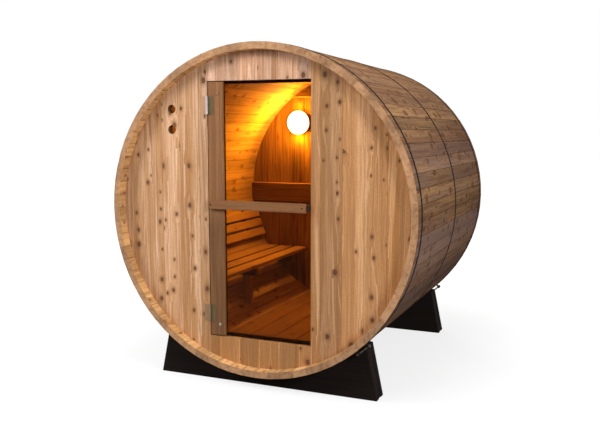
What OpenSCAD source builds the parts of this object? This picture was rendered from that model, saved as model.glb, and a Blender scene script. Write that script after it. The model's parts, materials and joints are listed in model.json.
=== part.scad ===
// Barrel sauna: a round cabin of straight cedar staves on two cradles.
// Millimetres, +Z up. The origin is on the ground under the middle of the barrel,
// the barrel's axis runs along Y, and the door is at the -Y end.

/* [Barrel] */
// Outside diameter over the staves
barrel_d = 1828; // [1720:1:2300]
// Length of the staves
barrel_l = 1760; // [1400:1:3000]
// Thickness of a stave
stave_t = 38; // [28:1:55]
// Number of staves round the barrel
stave_n = 72; // [48:8:96]
// Free height under the lowest stave
ground_gap = 77; // [60:1:160]
// Depth of the groove that holds an end wall
croze_depth = 8; // [4:1:14]

/* [End walls] */
// Thickness of an end wall
wall_t = 38; // [25:1:50]
// How far the front wall stands back from the stave ends
front_recess = 58; // [45:1:120]
// How far the back wall stands back from the stave ends
back_recess = 30; // [20:1:120]
// Diameter of a vent hole
vent_d = 50; // [30:1:70]
// Distance of the vent holes from the middle of the door
vent_x = 542; // [480:1:600]
// Height of the upper vent hole above the barrel's axis
vent_z = 567; // [400:1:580]
// Distance between the two vent holes
vent_pitch = 115; // [90:1:180]

/* [Doorway] */
// Width of the doorway
door_w = 625; // [500:1:760]
// Height of the doorway, shared evenly above and below the barrel's axis
door_h = 1436; // [1150:1:1470]
// Gap between the door and the doorway
door_gap = 5; // [5:0.5:10]
// How far the stop strips reach into the doorway
stop_reach = 15; // [8:1:25]
// Width of a stop strip
stop_w = 45; // [30:1:70]
// Thickness of a stop strip
stop_t = 20; // [12:1:30]

/* [Door] */
// Width of the wooden stile along the hinges
stile_w = 95; // [70:1:130]
// Thickness of the stile
stile_t = 33; // [26:1:45]
// Thickness of the glass
glass_t = 8; // [6:1:12]
// How far the glass lies behind the face of the stile
glass_setback = 15; // [8:1:16]
// Depth of the groove in the stile that grips the glass
glass_grip = 14; // [8:1:25]
// Length of the handle bar
handle_l = 588; // [400:1:588]
// Distance of the handle bar's end from the stile's hinge edge
handle_inset = 10; // [5:1:20]
// Height of the handle bar
handle_h = 50; // [30:1:70]
// Thickness of the handle bar
handle_t = 22; // [15:1:35]
// Height of the handle bar's middle above the barrel's axis
handle_z = 38; // [-200:1:300]
// Diameter of the spacer that holds the handle bar off the glass
spacer_d = 18; // [12:1:30]
// Height of the catch at the handle bar's end
catch_h = 32; // [20:1:50]
// Greatest width of the catch
catch_w = 16; // [8:1:16]

/* [Hinges] */
// Height of a hinge
hinge_h = 100; // [70:1:130]
// Height of a hinge's middle above or below the barrel's axis
hinge_z = 586; // [400:1:600]
// Width of a hinge leaf
leaf_w = 30; // [20:1:45]
// Thickness of a hinge leaf
leaf_t = 2; // [1.5:0.5:4]
// Diameter of the hinge barrel
knuckle_d = 12; // [9:0.5:18]
// Diameter of the hinge pin
pin_d = 6; // [4:0.5:8]

/* [Hoops] */
// Width of a hoop strap
hoop_w = 20; // [12:1:30]
// Thickness of a hoop strap
hoop_t = 2; // [1:0.5:4]
// Distance of the end hoops from the stave ends
hoop_inset = 71; // [60:1:74]
// Angle of the tension bolts below the horizontal, on the +X side and for the middle hoop on the -X side
tension_angle = 49; // [46:1:50]
// Height of a tension lug above its strap
lug_h = 26; // [18:1:30]
// Thickness of a tension lug
lug_t = 8; // [5:1:12]
// Distance between the two lugs of a hoop
lug_span = 60; // [40:1:80]
// Diameter of a tension bolt
bolt_d = 10; // [8:1:14]
// Height of a tension bolt's middle above the strap
bolt_rise = 15.6; // [10:0.1:18]

/* [Cradles] */
// Width of a cradle at the ground
cradle_w = 1356; // [1200:1:1700]
// Height of a cradle
cradle_h = 296; // [240:1:360]
// Slope of a cradle's ends from the vertical
cradle_slope = 12; // [5:0.5:14]
// Thickness of one cradle board
cradle_board_t = 38; // [25:1:50]
// Thickness of the spacer between the two boards
cradle_spacer_t = 38; // [20:1:50]
// How far the spacer's ends stand back from the boards
cradle_spacer_inset = 3; // [0:1:30]
// Distance of the front cradle from the front stave ends
front_cradle_inset = 107; // [100:1:300]
// Distance of the back cradle from the back stave ends
back_cradle_inset = 88; // [88:1:300]

/* [Back wall battens] */
// Height of a batten
batten_h = 140; // [90:1:180]
// Thickness of a batten
batten_t = 22; // [15:1:35]
// Height of the lower batten's top edge above the barrel's axis
low_batten_z = 44; // [-50:1:150]
// Distance of the upper batten's lower edge below the inside of the crown
top_batten_drop = 176; // [120:1:220]

/* [Lamp] */
// Distance of the lamp from the middle of the back wall
lamp_x = 473; // [300:1:520]
// Height of the lamp above the barrel's axis
lamp_z = 509; // [300:1:540]
// Diameter of the lamp's base ring
lamp_d = 190; // [140:1:220]
// Depth of the lamp's base ring
lamp_base_t = 25; // [15:1:40]
// Diameter of the lamp's dome
dome_d = 176; // [120:1:180]
// Height of the lamp's dome
dome_h = 50; // [30:1:60]

/* [Floor] */
// Height of the floor's surface above the inside of the lowest stave
floor_rise = 85; // [65:1:130]
// Thickness of a floor board
floor_t = 25; // [18:1:35]
// Number of floor boards
floor_n = 5; // [4:1:7]
// Gap between two floor boards
floor_gap = 5; // [3:1:12]

/* [Bench] */
// Height of the seat above the floor
seat_height = 344; // [300:1:400]
// Distance of the seat's front edge from the middle of the barrel
seat_front_x = 408; // [380:1:480]
// Thickness of a seat board
seat_t = 25; // [18:1:35]
// Width of the front seat board
seat_front_w = 96; // [80:1:140]
// Width of the middle seat board
seat_middle_w = 104; // [80:1:140]
// Gap between two seat boards
seat_gap = 20; // [4:1:25]
// Height of the bearers under the seat
bearer_h = 60; // [40:1:90]
// Thickness of bearers, cleats, joists and the bench leg
rail_t = 38; // [25:1:50]
// How far the bearers stand back from the seat's front edge
bearer_setback = 20; // [10:1:50]
// Width of the bench leg
leg_w = 60; // [40:1:90]
// Distance of the bench leg's middle from the middle of the barrel
leg_x = 500; // [470:1:540]
// Distance of the end bearers from the middle of the barrel's length
bearer_y = 597; // [400:1:620]

/* [Backrest] */
// Width of a backrest slat
slat_w = 60; // [50:1:90]
// Gap between two backrest slats
slat_gap = 13; // [5:1:20]
// Thickness of a backrest slat
slat_t = 18; // [12:1:25]
// Number of backrest slats
slat_n = 3; // [2:1:4]
// Thickness of the cleats behind the slats
cleat_t = 18; // [12:1:30]
// Height of the lowest slat's lower edge above the seat
slat_clear = 86; // [40:1:110]

/* [Hidden] */

cedar = [0.80, 0.58, 0.38];
pale_cedar = [0.86, 0.66, 0.48];
brown_cedar = [0.55, 0.40, 0.30];
warm_cedar = [0.78, 0.44, 0.16];
black_stain = [0.10, 0.08, 0.07];
steel = [0.72, 0.72, 0.74];
black_steel = [0.12, 0.12, 0.13];
bronze_glass = [0.45, 0.28, 0.14, 0.6];
opal = [1.0, 0.96, 0.86];

// Running clearance between pieces that seat on a curve or in a groove
fit = 0.3;
// Side length and height of cutting blocks that reach past everything
far = 4000;

outer_r = barrel_d / 2;
inner_r = outer_r - stave_t;
axis_z = outer_r + ground_gap;
// Radius that clears the flat inside faces of the staves
bore_r = inner_r * cos(180 / stave_n) - fit;
wall_r = inner_r + croze_depth - fit;

segment_n = 8;
segment_staves = stave_n / segment_n;
stave_angle = 360 / stave_n;

front_y = -barrel_l / 2;
back_y = barrel_l / 2;
wall_face_y = front_y + front_recess;
wall_inner_y = wall_face_y + wall_t;
back_face_y = back_y - back_recess - wall_t;
room_l = back_face_y - wall_inner_y;
room_y = (back_face_y + wall_inner_y) / 2;

door_left_x = -door_w / 2;
hinge_x = door_left_x + door_gap / 2;
hinge_y = wall_face_y - knuckle_d / 2 - fit;
stile_x = door_left_x + door_gap;
glass_y = wall_face_y + glass_setback;
// The glass clears the doorway as its back corner swings past
glass_swing_r = door_w - door_gap / 2 - door_gap;
glass_back_reach = glass_y + glass_t - hinge_y;
glass_edge_x = hinge_x + sqrt(pow(glass_swing_r, 2) - pow(glass_back_reach, 2));
glass_groove_x = stile_x + stile_w - glass_grip;
door_part_h = door_h - 2 * door_gap;
handle_x = stile_x + handle_inset;
handle_end_x = handle_x + handle_l;
// How far the catch stays inside the glass's free edge
glass_margin = 1;
knuckle_n = 5;
knuckle_h = hinge_h / knuckle_n;

cradle_top_w = cradle_w - 2 * cradle_h * tan(cradle_slope);
cradle_t = 2 * cradle_board_t + cradle_spacer_t;
front_cradle_y = front_y + front_cradle_inset;
back_cradle_y = back_y - back_cradle_inset - cradle_t;

// A lug is a little narrower than its strap
lug_w = hoop_w - 2;
bolt_r = outer_r + hoop_t + bolt_rise;
nut_h = 8;
nut_d = 19;
// How far a tension bolt's thread stands out of each nut
thread_end = 3;
bolt_l = lug_span + 2 * (lug_t + nut_h + thread_end);

// Depths of the floor and the seat below the barrel's axis
floor_drop = inner_r - floor_rise;
seat_drop = floor_drop - seat_height;
seat_z = axis_z - seat_drop;
bearer_z = seat_z - seat_t - bearer_h;
bearer_ys = [-bearer_y, 0, bearer_y];
seat_rear_x = sqrt(pow(bore_r, 2) - pow(seat_drop, 2));
board_end_gap = 10;
slat_r = bore_r - cleat_t - slat_t;
slat_pitch_angle = (slat_w + slat_gap) / slat_r * 180 / PI;
slat_angle = slat_w / slat_r * 180 / PI;
lowest_slat_angle = asin((seat_drop - slat_clear) / slat_r);
cleat_angle = slat_n * slat_pitch_angle;

floor_z = axis_z - floor_drop;
floor_half_w = sqrt(pow(bore_r, 2) - pow(floor_drop, 2));
floor_board_w = (2 * floor_half_w - (floor_n - 1) * floor_gap) / floor_n;

// A drum along Y, centred on the barrel's axis
module drum(r, y0, y1) {
    translate([0, y1, axis_z]) rotate([90, 0, 0]) cylinder(h = y1 - y0, r = r, $fn = 180);
}

// A block given by its lowest and highest corners
module block(lo, hi) {
    translate(lo) cube(hi - lo);
}

// The trapezoid of one stave's end, between two angles
module stave_end(a0, a1) {
    polygon([
        [inner_r * cos(a0), inner_r * sin(a0)],
        [outer_r * cos(a0), outer_r * sin(a0)],
        [outer_r * cos(a1), outer_r * sin(a1)],
        [inner_r * cos(a1), inner_r * sin(a1)]
    ]);
}

// Stands a flat outline drawn round the barrel's axis up as a body along Y
module along_barrel(y0, y1) {
    translate([0, y1, axis_z]) rotate([90, 0, 0]) linear_extrude(y1 - y0) children();
}

// One eighth of the shell: neighbouring staves with the two grooves for the end walls
module stave_segment(i) {
    color(cedar) difference() {
        along_barrel(front_y, back_y)
            for (k = [0:segment_staves - 1]) {
                a = (i * segment_staves + k) * stave_angle;
                stave_end(a, a + stave_angle);
            }
        drum(inner_r + croze_depth, wall_face_y - fit, wall_inner_y + fit);
        drum(inner_r + croze_depth, back_face_y - fit, back_face_y + wall_t + fit);
    }
}

// Places its children on a hoop at the tension bolt, X outwards and Y along the bolt
module at_tension(y, angle) {
    translate([0, y, axis_z]) rotate([0, angle, 0]) rotate([90, 0, 0]) children();
}

// A steel strap round the staves with two upright lugs for the tension bolt
module hoop(y, angle) {
    color(black_steel) {
        translate([0, y + hoop_w / 2, axis_z]) rotate([90, 0, 0]) rotate_extrude($fn = 180)
            translate([outer_r, 0]) square([hoop_t, hoop_w]);
        at_tension(y, angle)
            for (side = [-1, 1]) difference() {
                translate([outer_r - 0.5, side * (lug_span + lug_t) / 2 - lug_t / 2, -lug_w / 2])
                    cube([hoop_t + lug_h + 0.5, lug_t, lug_w]);
                cylinder(h = far, r = outer_r + hoop_t / 2, center = true, $fn = 180);
                translate([bolt_r, 0, 0]) rotate([90, 0, 0])
                    cylinder(h = far, d = bolt_d + 2 * fit, center = true, $fn = 48);
            }
    }
}

// The bolt that pulls a hoop tight, with a hexagon nut outside each lug
module hoop_bolt(y, angle) {
    color(steel) at_tension(y, angle) translate([bolt_r, 0, 0]) rotate([90, 0, 0]) {
        cylinder(h = bolt_l, d = bolt_d, center = true, $fn = 48);
        for (side = [-1, 1])
            translate([0, 0, side * (lug_span / 2 + lug_t + nut_h / 2)])
                cylinder(h = nut_h, d = nut_d, center = true, $fn = 6);
    }
}

// The outline of a cradle, with the round seat for the barrel taken out
module cradle_outline(inset) {
    difference() {
        polygon([
            [-cradle_w / 2 + inset, -axis_z],
            [cradle_w / 2 - inset, -axis_z],
            [cradle_top_w / 2 - inset, cradle_h - axis_z],
            [-cradle_top_w / 2 + inset, cradle_h - axis_z]
        ]);
        circle(r = outer_r + fit, $fn = 180);
    }
}

module cradle_boards(y) {
    color(black_stain) {
        along_barrel(y, y + cradle_board_t) cradle_outline(0);
        along_barrel(y + cradle_t - cradle_board_t, y + cradle_t) cradle_outline(0);
    }
}

module cradle_spacer(y) {
    color(black_stain)
        along_barrel(y + cradle_board_t, y + cradle_t - cradle_board_t)
            cradle_outline(cradle_spacer_inset);
}

// The part of the round front wall that lies between two corners in X and Z
module front_wall_part(x0, x1, z0, z1) {
    color(pale_cedar) intersection() {
        drum(wall_r, wall_face_y, wall_inner_y);
        block([x0, wall_face_y - far, axis_z + z0], [x1, wall_face_y + far, axis_z + z1]);
    }
}

module front_wall_left() {
    difference() {
        front_wall_part(-far, -door_w / 2, -far, far);
        for (z = [vent_z, vent_z - vent_pitch])
            translate([-vent_x, wall_face_y - 1, axis_z + z]) rotate([-90, 0, 0])
                cylinder(h = wall_t + 2, d = vent_d, $fn = 64);
    }
}

module back_wall() {
    color(pale_cedar) drum(wall_r, back_face_y, back_face_y + wall_t);
}

// Strips fixed round the inside of the doorway, which the door closes against
module door_stops() {
    inner_w = door_w - 2 * stop_reach;
    inner_h = door_h - 2 * stop_reach;
    color(brown_cedar) translate([0, wall_inner_y, axis_z]) difference() {
        translate([-inner_w / 2 - stop_w, 0, -inner_h / 2 - stop_w])
            cube([inner_w + 2 * stop_w, stop_t, inner_h + 2 * stop_w]);
        translate([-inner_w / 2, -1, -inner_h / 2]) cube([inner_w, stop_t + 2, inner_h]);
    }
}

// The wooden upright of the door, grooved for the glass
module door_stile() {
    color(brown_cedar) difference() {
        translate([stile_x, wall_face_y, axis_z - door_part_h / 2]) cube([stile_w, stile_t, door_part_h]);
        translate([glass_groove_x - fit, glass_y - fit, axis_z - door_part_h / 2 - 1])
            cube([glass_grip + 1 + fit, glass_t + 2 * fit, door_part_h + 2]);
    }
}

module door_glass() {
    color(bronze_glass)
        translate([glass_groove_x, glass_y, axis_z - door_part_h / 2])
            cube([glass_edge_x - glass_groove_x, glass_t, door_part_h]);
}

module handle_bar() {
    color(brown_cedar)
        translate([handle_x, wall_face_y - handle_t, axis_z + handle_z - handle_h / 2])
            cube([handle_l, handle_t, handle_h]);
}

// The round spacer between the free end of the handle bar and the glass
module handle_spacer() {
    color(black_steel)
        translate([handle_end_x - handle_h / 2, wall_face_y, axis_z + handle_z]) rotate([-90, 0, 0])
            cylinder(h = glass_setback, d = spacer_d, $fn = 48);
}

// The small catch at the end of the handle bar
module door_catch() {
    w = min(catch_w, glass_edge_x - handle_end_x - glass_margin);
    color(black_steel)
        translate([handle_end_x, wall_face_y - handle_t / 2, axis_z + handle_z - catch_h / 2])
            cube([w, handle_t / 2 + glass_setback, catch_h]);
}

// The knuckles of one hinge leaf: every second one, from the first given
module knuckles(first, z, bore) {
    for (k = [first:2:knuckle_n - 1])
        translate([hinge_x, hinge_y, axis_z + z - hinge_h / 2 + k * knuckle_h + fit])
            difference() {
                cylinder(h = knuckle_h - 2 * fit, d = knuckle_d, $fn = 48);
                translate([0, 0, -1]) cylinder(h = knuckle_h + 2, d = bore, $fn = 48);
            }
}

// A leaf plate with its knuckles; side 1 lies on the door and side -1 on the wall
module hinge_leaf(side, z, first) {
    leaf_offset = knuckle_d / 2 + fit;
    leaf_x = side > 0 ? hinge_x + leaf_offset : hinge_x - leaf_offset - leaf_w;
    reach = leaf_offset + 1;
    color(steel) {
        translate([leaf_x, wall_face_y - leaf_t, axis_z + z - hinge_h / 2]) cube([leaf_w, leaf_t, hinge_h]);
        difference() {
            for (k = [first:2:knuckle_n - 1])
                translate([side > 0 ? hinge_x : hinge_x - reach, wall_face_y - leaf_t,
                           axis_z + z - hinge_h / 2 + k * knuckle_h + fit])
                    cube([reach, leaf_t, knuckle_h - 2 * fit]);
            translate([hinge_x, hinge_y, axis_z + z - hinge_h])
                cylinder(h = 2 * hinge_h, d = pin_d + 2 * fit, $fn = 48);
        }
        knuckles(first, z, side > 0 ? pin_d + 2 * fit : pin_d);
    }
}

module hinge_door_leaf(z) {
    hinge_leaf(1, z, 1);
}

// The wall leaf carries the pin
module hinge_wall_leaf(z) {
    hinge_leaf(-1, z, 0);
    color(steel) translate([hinge_x, hinge_y, axis_z + z - hinge_h / 2])
        cylinder(h = hinge_h, d = pin_d, $fn = 48);
}

// A board across the back wall, cut to the curve of the staves
module back_batten(z0) {
    color(brown_cedar) intersection() {
        drum(bore_r, back_face_y - batten_t, back_face_y);
        block([-far, back_face_y - far, axis_z + z0], [far, back_face_y + far, axis_z + z0 + batten_h]);
    }
}

module lamp_base() {
    color(black_steel) translate([-lamp_x, back_face_y, axis_z + lamp_z]) rotate([90, 0, 0])
        cylinder(h = lamp_base_t, d = lamp_d, $fn = 96);
}

// A shallow cap of a sphere on the front of the lamp's base
module lamp_dome() {
    dome_r = (pow(dome_d / 2, 2) + pow(dome_h, 2)) / (2 * dome_h);
    color(opal) translate([-lamp_x, back_face_y - lamp_base_t, axis_z + lamp_z]) rotate([90, 0, 0])
        intersection() {
            translate([0, 0, dome_h - dome_r]) sphere(r = dome_r, $fn = 96);
            cylinder(h = dome_h + 1, d = dome_d + 10, $fn = 96);
        }
}

// Floor boards along the barrel, the outer two cut to the curve of the staves
module floor_boards() {
    color(warm_cedar) intersection() {
        drum(bore_r, front_y, back_y);
        for (i = [0:floor_n - 1])
            translate([-floor_half_w + i * (floor_board_w + floor_gap), wall_inner_y + board_end_gap,
                       floor_z - floor_t])
                cube([floor_board_w, room_l - 2 * board_end_gap, floor_t]);
    }
}

// Joists under the floor, rounded below to lie in the barrel
module floor_joists() {
    color(brown_cedar)
        for (y = bearer_ys) intersection() {
            drum(bore_r, y - rail_t / 2, y + rail_t / 2);
            block([-far, y - far, axis_z - far], [far, y + far, floor_z - floor_t]);
        }
}

// A seat board between two distances from the middle of the barrel, kept inside the staves
module seat_board(x0, x1) {
    intersection() {
        drum(bore_r, front_y, back_y);
        translate([-x1, wall_inner_y + board_end_gap, seat_z - seat_t])
            cube([x1 - x0, room_l - 2 * board_end_gap, seat_t]);
    }
}

module seat_boards() {
    middle_x = seat_front_x + seat_front_w + seat_gap;
    rear_x = middle_x + seat_middle_w + seat_gap;
    color(warm_cedar) {
        seat_board(seat_front_x, seat_front_x + seat_front_w);
        seat_board(middle_x, middle_x + seat_middle_w);
        seat_board(rear_x, seat_rear_x);
    }
}

// Bearers under the seat, cut to the curve of the staves at the back
module bench_bearers() {
    color(brown_cedar)
        for (y = bearer_ys) intersection() {
            drum(bore_r, y - rail_t / 2, y + rail_t / 2);
            block([-far, y - far, bearer_z],
                  [-seat_front_x - bearer_setback, y + far, seat_z - seat_t]);
        }
}

// The leg under the middle bearer, cut below to stand on the staves
module bench_leg() {
    color(brown_cedar) intersection() {
        drum(bore_r, -rail_t / 2, rail_t / 2);
        block([-leg_x - leg_w / 2, -far, axis_z - far], [-leg_x + leg_w / 2, far, bearer_z]);
    }
}

// Places its children on the backrest at an angle below the horizontal, X outwards
module at_rest(angle) {
    translate([0, 0, axis_z]) rotate([0, -angle, 0]) mirror([1, 0, 0]) children();
}

module backrest_slats() {
    color(warm_cedar)
        for (i = [0:slat_n - 1])
            at_rest(lowest_slat_angle - slat_angle / 2 - i * slat_pitch_angle)
                translate([slat_r, wall_inner_y + board_end_gap, -slat_w / 2])
                    cube([slat_t, room_l - 2 * board_end_gap, slat_w]);
}

// Curved cleats between the staves and the slats
module backrest_cleats() {
    cleat_r = slat_r + slat_t + fit;
    edge = atan(slat_w / 2 / (slat_r + slat_t));
    color(brown_cedar)
        for (y = bearer_ys) intersection() {
            difference() {
                drum(bore_r, y - rail_t / 2, y + rail_t / 2);
                drum(cleat_r / cos(edge), y - rail_t, y + rail_t);
            }
            at_rest(lowest_slat_angle - cleat_angle / 2)
                translate([0, y - far / 2, -cleat_angle * slat_r * PI / 360])
                    cube([far, far, cleat_angle * slat_r * PI / 180]);
        }
}

stave_segment(0);  // staves_a
stave_segment(1);  // staves_b
stave_segment(2);  // staves_c
stave_segment(3);  // staves_d
stave_segment(4);  // staves_e
stave_segment(5);  // staves_f
stave_segment(6);  // staves_g
stave_segment(7);  // staves_h
hoop(front_y + hoop_inset, tension_angle);  // front_hoop
hoop(0, 180 - tension_angle);  // middle_hoop
hoop(back_y - hoop_inset, tension_angle);  // back_hoop
hoop_bolt(front_y + hoop_inset, tension_angle);  // front_hoop_bolt
hoop_bolt(0, 180 - tension_angle);  // middle_hoop_bolt
hoop_bolt(back_y - hoop_inset, tension_angle);  // back_hoop_bolt
cradle_boards(front_cradle_y);  // front_cradle_boards
cradle_spacer(front_cradle_y);  // front_cradle_spacer
cradle_boards(back_cradle_y);  // back_cradle_boards
cradle_spacer(back_cradle_y);  // back_cradle_spacer
front_wall_left();
front_wall_part(door_w / 2, far, -far, far);  // front_wall_right
front_wall_part(-door_w / 2, door_w / 2, door_h / 2, far);  // front_wall_top
front_wall_part(-door_w / 2, door_w / 2, -far, -door_h / 2);  // front_wall_sill
back_wall();
door_stops();
door_stile();
door_glass();
handle_bar();
handle_spacer();
door_catch();
hinge_door_leaf(hinge_z);  // upper_hinge_door_leaf
hinge_door_leaf(-hinge_z);  // lower_hinge_door_leaf
hinge_wall_leaf(hinge_z);  // upper_hinge_wall_leaf
hinge_wall_leaf(-hinge_z);  // lower_hinge_wall_leaf
back_batten(low_batten_z - batten_h);  // lower_batten
back_batten(inner_r - top_batten_drop);  // upper_batten
lamp_base();
lamp_dome();
floor_boards();
floor_joists();
seat_boards();
bench_bearers();
bench_leg();
backrest_slats();
backrest_cleats();
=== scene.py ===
import json
import math
import random

import bpy
from mathutils import Matrix, Vector


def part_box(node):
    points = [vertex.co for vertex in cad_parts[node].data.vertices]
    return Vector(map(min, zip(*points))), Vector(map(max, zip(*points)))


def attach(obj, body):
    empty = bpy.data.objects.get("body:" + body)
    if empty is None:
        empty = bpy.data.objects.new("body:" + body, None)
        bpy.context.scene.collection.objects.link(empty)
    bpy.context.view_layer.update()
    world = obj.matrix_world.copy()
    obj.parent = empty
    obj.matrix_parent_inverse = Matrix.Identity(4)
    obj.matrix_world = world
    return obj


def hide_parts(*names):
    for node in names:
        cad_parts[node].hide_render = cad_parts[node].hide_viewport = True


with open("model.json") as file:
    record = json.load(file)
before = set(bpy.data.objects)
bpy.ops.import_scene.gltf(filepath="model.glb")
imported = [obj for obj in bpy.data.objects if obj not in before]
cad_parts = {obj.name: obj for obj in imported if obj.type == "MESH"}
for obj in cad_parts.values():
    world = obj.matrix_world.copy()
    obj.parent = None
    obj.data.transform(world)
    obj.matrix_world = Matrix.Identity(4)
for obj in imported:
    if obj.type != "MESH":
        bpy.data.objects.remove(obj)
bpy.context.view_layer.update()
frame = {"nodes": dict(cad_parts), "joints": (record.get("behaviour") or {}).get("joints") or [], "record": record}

# ---- The staves ----
# Seventy-two straight cedar boards stand edge to edge round the barrel, and the hoops draw them
# tight. Each is flat inside and out, with eased edges, and weathers grey-brown on the outside.
stave_count = 72
staves_in_a_set = 9
stave_sets = "abcdefgh"
stave_edge = 0.0010
stave_end_edge = 0.0005
stave_end_slack = 0.0015
rim_depth = 0.059
outside_tones = (0.37, 0.205, 0.096), (0.21, 0.104, 0.054), (0.088, 0.042, 0.028)
inside_tones = (0.50, 0.30, 0.13), (0.36, 0.19, 0.07), (0.22, 0.095, 0.030)
stave_end_tones = (0.49, 0.275, 0.145), (0.23, 0.105, 0.044)
weathered_grey = (0.168, 0.111, 0.098)
brown_knot = (0.21, 0.078, 0.032)

set_low, set_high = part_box("staves_a")
axis_z = set_low.z
front_y, back_y = set_low.y, set_high.y
stave_angle = 2 * math.pi / stave_count
outer_r = set_high.x
inner_r = set_low.x / math.cos(staves_in_a_set * stave_angle)
stave_width_in = 2 * inner_r * math.sin(stave_angle / 2)
stave_width_out = 2 * outer_r * math.sin(stave_angle / 2)


def start_piece():
    """Nothing stays selected, so that the next operators act on one piece only."""
    if bpy.context.object and bpy.context.object.mode == "EDIT":
        bpy.ops.object.mode_set(mode="OBJECT")
    bpy.ops.object.select_all(action="DESELECT")


def take_up(piece):
    """Makes one piece the only one that the next operators act on."""
    start_piece()
    bpy.context.view_layer.objects.active = piece
    piece.select_set(True)


def settle(piece):
    """Puts the piece's place into its mesh and leaves edit mode."""
    take_up(piece)
    bpy.ops.object.transform_apply(location=True, rotation=True, scale=True)
    return piece


def choose(piece, part, wanted):
    """Selects the faces or edges whose middle and direction the test wanted says yes to."""
    if piece.mode == "EDIT":
        bpy.ops.object.mode_set(mode="OBJECT")
    bpy.context.view_layer.objects.active = piece
    mesh = piece.data
    for group in (mesh.vertices, mesh.edges, mesh.polygons):
        group.foreach_set("select", [False] * len(group))
    bpy.context.tool_settings.mesh_select_mode = (False, part == "EDGE", part == "FACE")
    if part == "FACE":
        for face in mesh.polygons:
            face.select = wanted(face.center, face.normal)
    else:
        for edge in mesh.edges:
            start, end = (mesh.vertices[i].co for i in edge.vertices)
            edge.select = wanted((start + end) / 2, (end - start).normalized())
    bpy.ops.object.mode_set(mode="EDIT")


def dress(piece, *finishes):
    """The piece's finishes, in place of any that it has."""
    piece.data.materials.clear()
    for finish in finishes:
        piece.data.materials.append(finish)


def finish_faces(piece, place, wanted):
    """Gives the faces that the test wanted says yes to the piece's finish at that place."""
    choose(piece, "FACE", wanted)
    piece.active_material_index = place
    bpy.ops.object.material_slot_assign()
    bpy.ops.object.mode_set(mode="OBJECT")


def slab(low, high):
    """A block between two corners, ready to be shaped."""
    start_piece()
    bpy.ops.mesh.primitive_cube_add(size=1, location=(low + high) / 2, scale=high - low)
    return settle(bpy.context.object)


def rod(radius, start, end, sides):
    """A round bar between two points, ready to be shaped."""
    start_piece()
    way = end - start
    bpy.ops.mesh.primitive_cylinder_add(vertices=sides, radius=radius, depth=way.length)
    piece = bpy.context.object
    turned = way.to_track_quat("Z", "Y").to_matrix().to_4x4()
    piece.matrix_world = Matrix.Translation((start + end) / 2) @ turned
    return settle(piece)


def copy_of(piece, name, move):
    """Another piece like the one given, with its own mesh, moved by a matrix."""
    twin = bpy.data.objects.new(name, piece.data.copy())
    twin.data.transform(move)
    bpy.context.scene.collection.objects.link(twin)
    return twin


def joined(pieces, name):
    """Several pieces as one mesh."""
    start_piece()
    for piece in pieces:
        piece.select_set(True)
    bpy.context.view_layer.objects.active = pieces[0]
    bpy.ops.object.join()
    pieces[0].name = name
    return pieces[0]


def feed(tree, socket, value):
    """Sets a node's input to a number or a colour, or links it to another node."""
    if isinstance(value, (int, float)):
        socket.default_value = value
    elif isinstance(value, tuple):
        socket.default_value = (*value, 1)
    else:
        tree.links.new(value, socket)


def calc(tree, operation, *values):
    """A Math node whose inputs are the sockets and numbers given, in order."""
    node = tree.nodes.new("ShaderNodeMath")
    node.operation = operation
    for socket, value in zip(node.inputs, values):
        feed(tree, socket, value)
    return node.outputs[0]


def soft_step(tree, value, start, end):
    """Rises smoothly from 0 where the value is start to 1 where it is end."""
    node = tree.nodes.new("ShaderNodeMapRange")
    node.interpolation_type = "SMOOTHSTEP"
    tree.links.new(value, node.inputs["Value"])
    node.inputs["From Min"].default_value = start
    node.inputs["From Max"].default_value = end
    return node.outputs["Result"]


def tint(tree, share, first, second):
    """Mixes two colours by a share. Each is a socket, or numbers."""
    node = tree.nodes.new("ShaderNodeMix")
    node.data_type = "RGBA"
    for place, value in ((0, share), (6, first), (7, second)):
        feed(tree, node.inputs[place], value)
    return node.outputs[2]


def shaded(tree, colour, value):
    """A colour made lighter or darker by a value, which is 1 where it stays as it is."""
    node = tree.nodes.new("ShaderNodeHueSaturation")
    feed(tree, node.inputs["Value"], value)
    feed(tree, node.inputs["Color"], colour)
    return node.outputs["Color"]


def point(tree, x, y, z):
    """A place made of three values."""
    node = tree.nodes.new("ShaderNodeCombineXYZ")
    for socket, value in zip(node.inputs, (x, y, z)):
        feed(tree, socket, value)
    return node.outputs[0]


def split(tree, value, kind="ShaderNodeSeparateXYZ"):
    """The three values that a place or a colour is made of."""
    node = tree.nodes.new(kind)
    tree.links.new(value, node.inputs[0])
    return node.outputs


def cloud(tree, where, scale, detail, roughness=0.5):
    """Soft random values from 0 to 1, in patches of about one over scale metres."""
    node = tree.nodes.new("ShaderNodeTexNoise")
    tree.links.new(where, node.inputs["Vector"])
    node.inputs["Scale"].default_value = scale
    node.inputs["Detail"].default_value = detail
    node.inputs["Roughness"].default_value = roughness
    return node.outputs[0]


def luck_of(tree, number, seed):
    """Three random values from 0 to 1 that stay the same all over one board."""
    dice = tree.nodes.new("ShaderNodeTexWhiteNoise")
    dice.noise_dimensions = "1D"
    tree.links.new(calc(tree, "ADD", number, seed + 0.37), dice.inputs["W"])
    return split(tree, dice.outputs["Color"], "ShaderNodeSeparateColor")[:3]


def new_finish(name):
    """A material with its own nodes: the material, its tree, its shader and Object coordinates."""
    material = bpy.data.materials.new(name)
    material.use_nodes = True
    tree = material.node_tree
    here = tree.nodes.new("ShaderNodeTexCoord").outputs["Object"]
    return material, tree, tree.nodes["Principled BSDF"], here


def raise_surface(tree, shader, height, depth, strength):
    """Lets a height from 0 to 1 stand out of the surface by depth metres."""
    node = tree.nodes.new("ShaderNodeBump")
    node.inputs["Strength"].default_value = strength
    node.inputs["Distance"].default_value = depth
    tree.links.new(height, node.inputs["Height"])
    tree.links.new(node.outputs["Normal"], shader.inputs["Normal"])


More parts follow.
